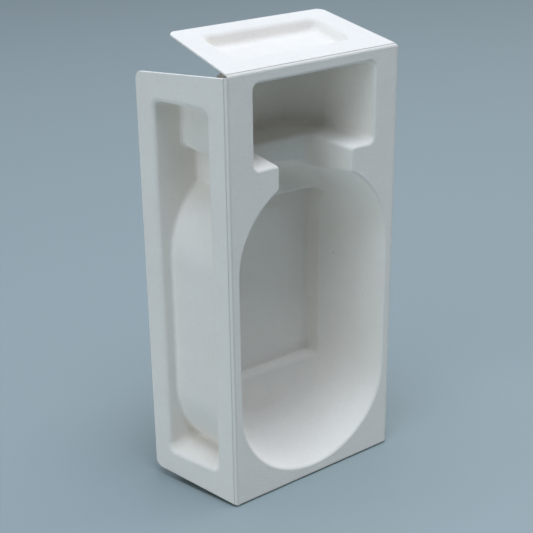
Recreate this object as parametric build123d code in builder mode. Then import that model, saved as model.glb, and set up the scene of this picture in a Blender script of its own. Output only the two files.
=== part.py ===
"""Moulded pulp insert for a bottle: one pressed sheet with a bottle recess and four folded flaps."""
import os
from math import cos, radians, sin, sqrt, tan

from build123d import *

# Sheet and overall sizes, in millimetres and degrees
panel_width = 92.0
panel_height = 200.0
flap_depth = 49.0
sheet = 1.0

# Folds: a thinner pressed crease joins each flap to the panel
crease = 1.2
crease_sheet = 0.6
crease_sink = 0.25
side_opening = 15.0
top_opening = 10.5
bottom_opening = 0.0
flap_taper = 4.5
flap_corner = 4.0
cut_edge_radius = 0.35

# Bottle recess: rounding of its rim and of the steps inside it
rim_radius = 1.3
step_radius = 1.8

# Cap end of the recess
cap_top_border = 5.5
cap_side_border = 13.4
cap_height = 36.3
cap_depth = 43.5
cap_draft = 5.5
cap_ledge_draft = 2.0
cap_corner = 3.0
cap_back_chamfer = 13.0
cap_back_corner = 3.5

# Neck of the recess
neck_side_border = 26.2
neck_depth = 27.5
neck_draft = 7.0
neck_corner = 2.5

# Body of the recess, a bowl with round ends and a coved floor
body_side_border = 4.8
body_bottom_border = 5.9
shoulder_drop = 6.1
body_depth = 39.0
body_draft = 8.5
body_cove = 9.0

# Foot: a rectangular well in the body's floor, which stands proud of the back
foot_side_border = 8.6
foot_low_overlap = 8.5
foot_high_overlap = 16.7
foot_reach = 30.0
foot_rise = 7.0
foot_corner = 2.0
foot_floor_radius = 1.2
foot_step_radius = 1.6

# Side flap pockets, which nest on the recess when the flap is square
side_pocket_fold_border = 10.6
side_pocket_free_border = 9.2
side_pocket_end_border = 15.9
side_pocket_corner = 3.5
side_pocket_floor_radius = 1.2
side_pocket_draft = 6.0
side_pocket_lip = 2.2
nest_clearance = 0.5
nest_draft = 6.0
nest_neck_play = 4.6
nest_step_radius = 5.0

# End flap pockets, at the top and the bottom
end_pocket_fold_border = 12.9
end_pocket_free_border = 9.2
end_pocket_end_border = 14.7
end_pocket_depth = 5.5
end_pocket_corner = 5.0
end_pocket_draft = 25.0
end_pocket_lip = 2.5
end_pocket_floor_radius = 3.0

# Places that follow from the sizes, on the flat panel: x across, y up, z from the face to the back
cap_width = panel_width - 2 * cap_side_border
cap_top = panel_height - cap_top_border
cap_ledge = cap_top - cap_height
neck_width = panel_width - 2 * neck_side_border
body_radius = panel_width / 2 - body_side_border
body_bottom = body_bottom_border
body_crown = cap_ledge - shoulder_drop
body_middle = (body_bottom + body_crown) / 2
foot_width = 2 * (body_radius - foot_side_border)
foot_bottom = body_bottom + body_radius - foot_low_overlap
foot_top = body_crown - body_radius + foot_high_overlap
side_fold = Vector(panel_width / 2, panel_height / 2)
top_fold = Vector(0, panel_height)
bottom_fold = Vector(0, 0)


def cap_form(grow):
    """The cap's end of the recess: drafted sides, bevelled back corners and rounded long edges."""
    half_width = cap_width / 2 + grow
    depth = cap_depth + grow
    run_in = depth * tan(radians(cap_draft))
    ledge_rise = depth * tan(radians(cap_ledge_draft))
    bevel = cap_back_chamfer + grow * (2 - sqrt(2))
    with BuildPart() as form:
        with BuildSketch(Plane.XZ):
            with BuildLine():
                Polyline(
                    (-half_width, 0),
                    (-half_width + run_in, depth),
                    (half_width - run_in, depth),
                    (half_width, 0),
                    close=True,
                )
            make_face()
            chamfer(vertices().group_by(Axis.Y)[-1], bevel)
            fillet(vertices() - vertices().group_by(Axis.Y)[0], cap_back_corner + grow)
        extrude(amount=-panel_height)
        with BuildSketch(Plane.YZ):
            with BuildLine():
                Polyline(
                    (cap_ledge - grow, 0),
                    (cap_ledge - grow + ledge_rise, depth),
                    (cap_top + grow - run_in, depth),
                    (cap_top + grow, 0),
                    close=True,
                )
            make_face()
        extrude(amount=panel_width, both=True, mode=Mode.INTERSECT)
        long_edges = faces().sort_by(Axis.Y)[0].edges() + faces().sort_by(Axis.Y)[-1].edges()
        mouth_edges = faces().sort_by(Axis.Z)[0].edges()
        fillet(long_edges - mouth_edges, cap_corner + grow)
    return form.part


def body_slot(grow):
    """The body's outline on the panel's face: a slot with round ends, grown all round."""
    with BuildSketch() as outline:
        with Locations((0, body_middle)):
            SlotOverall(body_crown - body_bottom + 2 * grow, 2 * (body_radius + grow), rotation=90)
    return outline.sketch


def foot_form(grow):
    """The rectangular foot, from inside the bowl to its own floor."""
    foot_height = foot_top - foot_bottom
    with BuildPart() as form:
        with BuildSketch(Plane.XY.offset(body_depth - foot_reach)):
            with Locations((0, (foot_bottom + foot_top) / 2)):
                RectangleRounded(foot_width + 2 * grow, foot_height + 2 * grow, foot_corner + grow)
        extrude(amount=foot_reach + foot_rise + grow)
        fillet(faces().sort_by(Axis.Z)[-1].edges(), foot_floor_radius + grow)
    return form.part


def bowl_form(grow):
    """The body's end of the recess: a bowl with a coved floor, and the foot that blends into it."""
    with BuildPart() as form:
        extrude(body_slot(grow), amount=body_depth + grow, taper=body_draft)
        fillet(faces().sort_by(Axis.Z)[-1].edges(), body_cove + grow)
        add(foot_form(grow))
        fillet(form.edges(Select.NEW), foot_step_radius - grow)
    return form.part


def neck_form(grow):
    """The neck of the recess: a channel from the body to the cap, with rounded floor corners."""
    half_width = neck_width / 2 + grow
    depth = neck_depth + grow
    run_in = depth * tan(radians(neck_draft))
    with BuildPart() as form:
        with BuildSketch(Plane.XZ.offset(-body_middle)):
            with BuildLine():
                Polyline(
                    (-half_width, 0),
                    (-half_width + run_in, depth),
                    (half_width - run_in, depth),
                    (half_width, 0),
                    close=True,
                )
            make_face()
            fillet(vertices().group_by(Axis.Y)[-1], neck_corner + grow)
        extrude(amount=body_middle - (cap_ledge + cap_height / 2))
    return form.part


def bottle_form(grow):
    """Cap, neck and bowl as one solid, grown all round, with its inner steps rounded."""
    with BuildPart() as form:
        add(cap_form(grow))
        add(bowl_form(grow))
        add(neck_form(grow))
        fillet(form.edges(Select.NEW), step_radius - grow)
    return form.part


def drafted_block(middle, width, height, depth, draft, corner):
    """A rectangular block with drafted sides and rounded side edges, drawn back from the panel's face."""
    with BuildPart() as block:
        with BuildSketch():
            with Locations(middle):
                Rectangle(width, height)
        extrude(amount=depth, taper=draft)
        fillet(edges() - faces().filter_by(Axis.Z).edges(), corner)
    return block.part


def nest_form(grow):
    """The bottle's outline, grown all round and drafted through the whole depth of a side flap."""
    cap_middle = (0, cap_top - cap_height / 2)
    grown_cap = (cap_width + 2 * grow, cap_height + 2 * grow)
    neck_middle = (0, (body_middle + cap_top) / 2)
    neck_height = cap_top - body_middle
    wide_neck = neck_width + 2 * (grow + nest_neck_play)
    with BuildPart() as form:
        extrude(body_slot(grow), amount=flap_depth, taper=nest_draft)
        add(drafted_block(cap_middle, *grown_cap, flap_depth, nest_draft, cap_corner + grow))
        with BuildSketch():
            with Locations(neck_middle):
                Rectangle(wide_neck, neck_height)
        extrude(amount=flap_depth, taper=nest_draft)
        fillet(form.edges(Select.NEW), nest_step_radius - grow)
    return form.part


def rim(part, level):
    """The edges round the openings of a flat sheet: level 0 is its outer face, level 1 its inner face."""
    flat = part.faces().filter_by(Axis.Z).group_by(Axis.Z)[level]
    return flat.sort_by(SortBy.AREA)[-1].inner_wires().edges()


def fold_plane(fold_point, outward, opening):
    """The outer face of a flap: x along its fold, y to its free edge, z inwards to the recess."""
    back = Vector(0, 0, 1)
    along = outward * sin(radians(opening)) + back * cos(radians(opening))
    inward = back * sin(radians(opening)) - outward * cos(radians(opening))
    return Plane(origin=fold_point, x_dir=along.cross(inward), z_dir=inward)


def flap_plate(fold_length):
    """A flat flap: a trapezium from its crease to its free edge, with rounded corners and cut edges."""
    with BuildPart() as plate:
        with BuildSketch():
            with BuildLine():
                Polyline(
                    (-fold_length / 2 + crease, crease),
                    (fold_length / 2 - crease, crease),
                    (fold_length / 2 - flap_taper, flap_depth),
                    (-fold_length / 2 + flap_taper, flap_depth),
                    close=True,
                )
            make_face()
            fillet(vertices().group_by(Axis.Y)[-1], flap_corner)
        extrude(amount=sheet)
        rims = edges() - edges().filter_by(Axis.Z)
        fillet(rims - faces().sort_by(Axis.Y)[0].edges(), cut_edge_radius)
    return plate.part


def side_pocket_form(grow):
    """A side flap's pocket: a drafted block, cut to the bottle's outline where it nests on the recess."""
    pocket_width = flap_depth - side_pocket_fold_border - side_pocket_free_border
    pocket_length = panel_height - 2 * side_pocket_end_border
    middle = (0, side_pocket_fold_border + pocket_width / 2)
    length = pocket_length + 2 * grow
    width = pocket_width + 2 * grow
    corner = side_pocket_corner + grow
    square = fold_plane(side_fold, Vector(1, 0), 0)
    with BuildPart() as form:
        add(drafted_block(middle, length, width, panel_width / 2, side_pocket_draft, corner))
        nest = nest_form(2 * sheet + nest_clearance - grow)
        add(square.to_local_coords(nest), mode=Mode.SUBTRACT)
        fillet(form.edges(Select.NEW), side_pocket_floor_radius)
    return form.part


def end_pocket_form(grow):
    """A top or bottom flap's pocket: a shallow drafted tray with a rounded floor."""
    pocket_width = flap_depth - end_pocket_fold_border - end_pocket_free_border
    pocket_length = panel_width - 2 * end_pocket_end_border
    length = pocket_length + 2 * grow
    width = pocket_width + 2 * grow
    with BuildPart() as form:
        with BuildSketch():
            with Locations((0, end_pocket_fold_border + pocket_width / 2)):
                RectangleRounded(length, width, end_pocket_corner + grow)
        extrude(amount=end_pocket_depth + grow, taper=end_pocket_draft)
        fillet(faces().sort_by(Axis.Z)[-1].edges(), end_pocket_floor_radius + grow)
    return form.part


def crease_strip(fold_length, opening):
    """The pressed crease of a fold: a thin strip bent round a corner, from the panel to a flap."""
    bend_radius = crease * cos(radians(opening)) / (1 - sin(radians(opening)))
    outer_radius = bend_radius - crease_sink
    inner_radius = outer_radius - crease_sheet
    with BuildPart() as strip:
        with BuildSketch(Plane.XZ):
            with BuildLine():
                outer = CenterArc((-crease, bend_radius), outer_radius, -90, 90 - opening)
                inner = CenterArc((-crease, bend_radius), inner_radius, -90, 90 - opening)
                Line(outer @ 0, inner @ 0)
                Line(outer @ 1, inner @ 1)
            make_face()
        extrude(amount=fold_length / 2 - crease, both=True)
    return strip.part


def folded(flap, fold_point, outward, opening, fold_length):
    """A flap turned back at its fold, with the crease that joins it to the panel."""
    crease_plane = Plane(origin=fold_point, x_dir=outward, z_dir=(0, 0, 1))
    with BuildPart() as wing:
        add(flap.moved(fold_plane(fold_point, outward, opening).location))
        add(crease_strip(fold_length, opening).moved(crease_plane.location))
    return wing.part


with BuildPart() as panel:
    with BuildSketch():
        with Locations((0, panel_height / 2)):
            Rectangle(panel_width - 2 * crease, panel_height - 2 * crease)
    extrude(amount=sheet)
    add(bottle_form(sheet))
    add(bottle_form(0), mode=Mode.SUBTRACT)
    fillet(rim(panel, 0), rim_radius)
    fillet(rim(panel, 1), rim_radius - sheet)

with BuildPart() as side_flap:
    add(flap_plate(panel_height))
    add(side_pocket_form(sheet))
    add(side_pocket_form(0), mode=Mode.SUBTRACT)
    fillet(rim(side_flap, 0), side_pocket_lip)
    fillet(rim(side_flap, 1), side_pocket_lip - sheet)

with BuildPart() as end_flap:
    add(flap_plate(panel_width))
    add(end_pocket_form(sheet))
    add(end_pocket_form(0), mode=Mode.SUBTRACT)
    fillet(rim(end_flap, 0), end_pocket_lip)
    fillet(rim(end_flap, 1), end_pocket_lip - sheet)

with BuildPart() as flat_insert:
    add(panel.part)
    side = folded(side_flap.part, side_fold, Vector(1, 0), side_opening, panel_height)
    add(side)
    mirror(side, about=Plane.YZ)
    add(folded(end_flap.part, top_fold, Vector(0, 1), top_opening, panel_width))
    add(folded(end_flap.part, bottom_fold, Vector(0, -1), bottom_opening, panel_width))

# The insert stands on its bottom flap, with its face to the front
standing = Plane(origin=(0, -flap_depth / 2, 0), x_dir=(-1, 0, 0), z_dir=(0, 1, 0))
with BuildPart() as pulp_insert:
    add(flat_insert.part.moved(standing.location))
pulp_insert.part.label = "pulp_insert"
os.makedirs("parts", exist_ok=True)
export_step(pulp_insert.part, "parts/pulp_insert.step")
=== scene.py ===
"""Looks of a moulded pulp bottle insert: pressed white pulp on a blue-grey studio sweep."""
import math

import bpy
from mathutils import Matrix, Vector

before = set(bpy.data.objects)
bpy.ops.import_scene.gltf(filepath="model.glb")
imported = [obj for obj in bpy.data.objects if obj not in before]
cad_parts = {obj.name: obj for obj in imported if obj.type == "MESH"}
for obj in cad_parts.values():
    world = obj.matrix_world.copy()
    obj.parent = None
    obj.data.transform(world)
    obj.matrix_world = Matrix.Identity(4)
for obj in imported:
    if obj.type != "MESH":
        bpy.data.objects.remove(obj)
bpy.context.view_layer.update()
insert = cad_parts["pulp_insert"]

# Units: every length below is in millimetres
MM = 0.001

# Camera, as the photograph was taken
IMAGE_PX = 533
FOCAL_PX = 1159.4
SENSOR = 36.0
EYE = (-299.4, -388.1, 308.4)
HEADING_DEG = 36.82
DOWN_DEG = 23.10
ROLL_DEG = -0.71

# Studio: a wide floor, and a room of the same tone beyond it
FLOOR_SIZE = 6000.0
FLOOR_GAP = 0.05
FLOOR_COLOUR = "#9DA9AA"
ROOM_COLOUR = "#7C8E98"
ROOM_LIGHT = 0.02

# Softboxes: place, width and height, watts, colour
AIM = (0, 0, 100)
SOFTBOXES = {
    "overhead": ((0, 0, 2700), (2000, 2000), 57, "#E8F0FF"),
    "steep_front": ((0, -1000, 2500), (1600, 1600), 22, "#D9EBFF"),
    "low_left": ((-2600, -500, 500), (1600, 900), 17.5, "#E7F5FF"),
    "high_left": ((-1700, -700, 2100), (1400, 1400), 9, "#E4F2FF"),
    "right": ((2600, -600, 1100), (1800, 1800), 24, "#FFFAF4"),
}

# Pulp: colours and the real sizes of its marks
PULP_LIGHT = "#FBF6EE"
PULP_DARK = "#F5EFE7"
SPECK_COLOUR = "#A79F90"
CLOUD_SIZE = 14.0
FLOC_SIZE = 2.2
GRAIN_SIZE = 0.9
FIBRE_WIDTH = 0.5
FIBRE_LENGTH = 5.0
FIBRE_TURNS = [(0, 0, 40), (65, 0, 0), (120, 0, 25), (80, 35, 70), (20, 10, 100)]
SPECK_RADIUS = 0.2
SPECK_SPACING = 17.0
RELIEF = 0.05

# Pulp: how strongly each mark shows in its tone and in its relief
STRAND_START = 0.62
STRAND_FULL = 0.82
CLOUD_TONE = 1.0
TONE_SHIFT = -0.5
FLOC_TONE = 0.6
STRAND_TONE = 0.35
SPECK_STRENGTH = 0.8
GRAIN_HEIGHT = 0.4
FLOC_HEIGHT = 0.9

# Pulp: its matt surface
ROUGHNESS = 0.85
DIFFUSE_ROUGHNESS = 0.5
REFRACTIVE_INDEX = 1.5
SPECULAR_LEVEL = 0.3

# Painted fold shade: thin grey lines along the folds, standing in for the shade in the pressed creases;
# their places follow from the panel's sizes
PANEL_HALF_WIDTH = 46.0
PANEL_HEIGHT = 200.0
PANEL_FACE = -24.5
FOLD_SHADE_OFFSET = 1.2
FOLD_SHADE_WIDTH = 0.45
FOLD_SHADE_COLOUR = "#E3DFD7"


def linear(hex_colour):
    """An sRGB hex colour as linear red, green, blue and full alpha."""
    shares = [int(hex_colour[i:i + 2], 16) / 255 for i in (1, 3, 5)]
    curve = [s / 12.92 if s <= 0.04045 else ((s + 0.055) / 1.055) ** 2.4 for s in shares]
    return (*curve, 1.0)


def node(tree, kind, inputs=None, **settings):
    """Adds a node to a tree with its settings, and sets or links its inputs."""
    made = tree.nodes.new(kind)
    for name, value in settings.items():
        setattr(made, name, value)
    for socket, value in (inputs or {}).items():
        if isinstance(value, bpy.types.NodeSocket):
            tree.links.new(value, made.inputs[socket])
        else:
            made.inputs[socket].default_value = value
    return made


def empty_material(name):
    """A new node material with nothing in it but its output."""
    material = bpy.data.materials.new(name)
    material.use_nodes = True
    material.node_tree.nodes.clear()
    return material, material.node_tree


def pulp():
    """Hot-pressed pulp: bleached plant fibre, pressed smooth between hot moulds, and quite matt."""
    material, tree = empty_material("hot_pressed_pulp")
    place = node(tree, "ShaderNodeTexCoord").outputs["Object"]
    in_mm = node(tree, "ShaderNodeVectorMath", {
        0: place,
        "Scale": 1 / MM,
    }, operation="SCALE").outputs["Vector"]

    # Clouds and flocs: the fibre settles unevenly on the mould, so the sheet is faintly mottled
    clouds = node(tree, "ShaderNodeTexNoise", {"Vector": in_mm, "Scale": 1 / CLOUD_SIZE, "Detail": 2.0})
    flocs = node(tree, "ShaderNodeTexNoise", {"Vector": in_mm, "Scale": 1 / FLOC_SIZE, "Detail": 2.0})
    grain = node(tree, "ShaderNodeTexNoise", {"Vector": in_mm, "Scale": 1 / GRAIN_SIZE, "Detail": 1.0})

    # Fibres: real ones are a tenth as wide, and are drawn wider so that the picture can hold them
    strands = None
    for turn in FIBRE_TURNS:
        along = node(tree, "ShaderNodeMapping", {
            "Vector": in_mm,
            "Rotation": [math.radians(angle) for angle in turn],
            "Scale": (FIBRE_WIDTH, FIBRE_LENGTH, FIBRE_WIDTH),
        }, vector_type="TEXTURE").outputs["Vector"]
        streaks = node(tree, "ShaderNodeTexNoise", {
            "Vector": along,
            "Scale": 1.0,
            "Detail": 0.0,
        }).outputs["Fac"]
        if strands is None:
            strands = streaks
        else:
            strands = node(tree, "ShaderNodeMath", {0: strands, 1: streaks}, operation="MAXIMUM").outputs[0]
    strands = node(tree, "ShaderNodeMapRange", {
        "Value": strands,
        "From Min": STRAND_START,
        "From Max": STRAND_FULL,
    }).outputs[0]

    # Tone: light where the fibre lies thick, dark where it lies thin
    tone = node(tree, "ShaderNodeMath", {
        0: clouds.outputs["Fac"],
        1: CLOUD_TONE,
        2: TONE_SHIFT,
    }, operation="MULTIPLY_ADD").outputs[0]
    tone = node(tree, "ShaderNodeMath", {
        0: flocs.outputs["Fac"],
        1: FLOC_TONE,
        2: tone,
    }, operation="MULTIPLY_ADD").outputs[0]
    tone = node(tree, "ShaderNodeMath", {
        0: strands,
        1: STRAND_TONE,
        2: tone,
    }, operation="MULTIPLY_ADD").outputs[0]
    sheet = node(tree, "ShaderNodeMix", {
        "Factor": tone,
        "A": linear(PULP_DARK),
        "B": linear(PULP_LIGHT),
    }, data_type="RGBA")

    # Specks: a few dark bits of bark that the bleach leaves
    cells = node(tree, "ShaderNodeTexVoronoi", {"Vector": in_mm, "Scale": 1 / SPECK_SPACING})
    specks = node(tree, "ShaderNodeMapRange", {
        "Value": cells.outputs["Distance"],
        "From Min": SPECK_RADIUS / SPECK_SPACING,
        "From Max": 2 * SPECK_RADIUS / SPECK_SPACING,
        "To Min": SPECK_STRENGTH,
        "To Max": 0.0,
    }).outputs[0]
    specked = node(tree, "ShaderNodeMix", {
        "Factor": specks,
        "A": sheet.outputs["Result"],
        "B": linear(SPECK_COLOUR),
    }, data_type="RGBA")

    # Painted shade: a thin grey line along each side of a fold, colour standing in for the shade that falls
    # in the pressed crease
    spot = node(tree, "ShaderNodeSeparateXYZ", {"Vector": in_mm}).outputs
    across = node(tree, "ShaderNodeMath", {0: spot["X"]}, operation="ABSOLUTE").outputs[0]
    beside = node(tree, "ShaderNodeCombineXYZ", {"X": across, "Y": spot["Y"]}).outputs[0]
    endways = node(tree, "ShaderNodeCombineXYZ", {"Y": spot["Y"], "Z": spot["Z"]}).outputs[0]
    to_side = node(tree, "ShaderNodeVectorMath", {
        0: beside,
        1: (PANEL_HALF_WIDTH, PANEL_FACE, 0),
    }, operation="DISTANCE").outputs["Value"]
    to_top = node(tree, "ShaderNodeVectorMath", {
        0: endways,
        1: (0, PANEL_FACE, PANEL_HEIGHT),
    }, operation="DISTANCE").outputs["Value"]
    to_bottom = node(tree, "ShaderNodeVectorMath", {
        0: endways,
        1: (0, PANEL_FACE, 0),
    }, operation="DISTANCE").outputs["Value"]
    to_end = node(tree, "ShaderNodeMath", {0: to_top, 1: to_bottom}, operation="MINIMUM").outputs[0]
    to_fold = node(tree, "ShaderNodeMath", {0: to_side, 1: to_end}, operation="MINIMUM").outputs[0]
    aside = node(tree, "ShaderNodeMath", {0: to_fold, 1: FOLD_SHADE_OFFSET}, operation="SUBTRACT").outputs[0]
    aside = node(tree, "ShaderNodeMath", {0: aside}, operation="ABSOLUTE").outputs[0]
    painted_fold_shade = node(tree, "ShaderNodeMapRange", {
        "Value": aside,
        "From Min": 0.0,
        "From Max": FOLD_SHADE_WIDTH,
        "To Min": 1.0,
        "To Max": 0.0,
    }).outputs[0]
    # The painted crease shade is mixed over the pulp's own colour here
    colour = node(tree, "ShaderNodeMix", {
        "Factor": painted_fold_shade,
        "A": specked.outputs["Result"],
        "B": linear(FOLD_SHADE_COLOUR),
    }, data_type="RGBA")

    # Relief: the fine felt of fibres, which the hot press leaves almost flat
    height = node(tree, "ShaderNodeMath", {
        0: grain.outputs["Fac"],
        1: GRAIN_HEIGHT,
        2: strands,
    }, operation="MULTIPLY_ADD").outputs[0]
    height = node(tree, "ShaderNodeMath", {
        0: flocs.outputs["Fac"],
        1: FLOC_HEIGHT,
        2: height,
    }, operation="MULTIPLY_ADD").outputs[0]
    relief = node(tree, "ShaderNodeBump", {
        "Height": height,
        "Distance": RELIEF * MM,
        "Strength": 1.0,
    })
    surface = node(tree, "ShaderNodeBsdfPrincipled", {
        "Base Color": colour.outputs["Result"],
        "Roughness": ROUGHNESS,
        "Diffuse Roughness": DIFFUSE_ROUGHNESS,
        "IOR": REFRACTIVE_INDEX,
        "Specular IOR Level": SPECULAR_LEVEL,
        "Normal": relief.outputs["Normal"],
    })
    node(tree, "ShaderNodeOutputMaterial", {"Surface": surface.outputs["BSDF"]})
    return material


def floor_paper():
    """The sweep's matt blue-grey paper."""
    material, tree = empty_material("sweep_paper")
    surface = node(tree, "ShaderNodeBsdfDiffuse", {"Color": linear(FLOOR_COLOUR)})
    node(tree, "ShaderNodeOutputMaterial", {"Surface": surface.outputs["BSDF"]})
    return material


def add_floor():
    """A wide flat floor just under the insert."""
    half = FLOOR_SIZE / 2 * MM
    level = -FLOOR_GAP * MM
    corners = [(-half, -half, level), (half, -half, level), (half, half, level), (-half, half, level)]
    mesh = bpy.data.meshes.new("sweep")
    mesh.from_pydata(corners, [], [(0, 1, 2, 3)])
    mesh.materials.append(floor_paper())
    floor = bpy.data.objects.new("sweep", mesh)
    bpy.context.scene.collection.objects.link(floor)


def add_softbox(name, place, sizes, watts, colour):
    """A rectangular soft light at a place, facing the insert."""
    lamp = bpy.data.lights.new(name, "AREA")
    lamp.shape = "RECTANGLE"
    lamp.size = sizes[0] * MM
    lamp.size_y = sizes[1] * MM
    lamp.energy = watts
    lamp.color = linear(colour)[:3]
    light = bpy.data.objects.new(name, lamp)
    light.location = Vector(place) * MM
    light.rotation_euler = (Vector(AIM) - Vector(place)).to_track_quat("-Z", "Y").to_euler()
    bpy.context.scene.collection.objects.link(light)


def add_room():
    """A dim room: a little even light, and a tone near the lit floor's where the camera looks past it."""
    world = bpy.data.worlds.new("room")
    world.use_nodes = True
    tree = world.node_tree
    tree.nodes.clear()
    path = node(tree, "ShaderNodeLightPath")
    seen = node(tree, "ShaderNodeBackground", {"Color": linear(ROOM_COLOUR), "Strength": 1.0})
    light = node(tree, "ShaderNodeBackground", {"Color": linear(ROOM_COLOUR), "Strength": ROOM_LIGHT})
    either = node(tree, "ShaderNodeMixShader", {
        "Fac": path.outputs["Is Camera Ray"],
        1: light.outputs["Background"],
        2: seen.outputs["Background"],
    })
    node(tree, "ShaderNodeOutputWorld", {"Surface": either.outputs["Shader"]})
    bpy.context.scene.world = world


def add_camera():
    """The photograph's camera."""
    lens = bpy.data.cameras.new("camera")
    lens.sensor_width = SENSOR
    lens.lens = FOCAL_PX * SENSOR / IMAGE_PX
    camera = bpy.data.objects.new("camera", lens)
    heading = Matrix.Rotation(math.radians(-HEADING_DEG), 4, "Z")
    tilt = Matrix.Rotation(math.radians(90 - DOWN_DEG), 4, "X")
    roll = Matrix.Rotation(math.radians(ROLL_DEG), 4, "Z")
    camera.matrix_world = Matrix.Translation(Vector(EYE) * MM) @ heading @ tilt @ roll
    bpy.context.scene.collection.objects.link(camera)
    bpy.context.scene.camera = camera


insert.data.materials.clear()
insert.data.materials.append(pulp())
add_floor()
for name, (place, sizes, watts, colour) in SOFTBOXES.items():
    add_softbox(name, place, sizes, watts, colour)
add_room()
add_camera()
bpy.context.scene.view_settings.view_transform = "Standard"
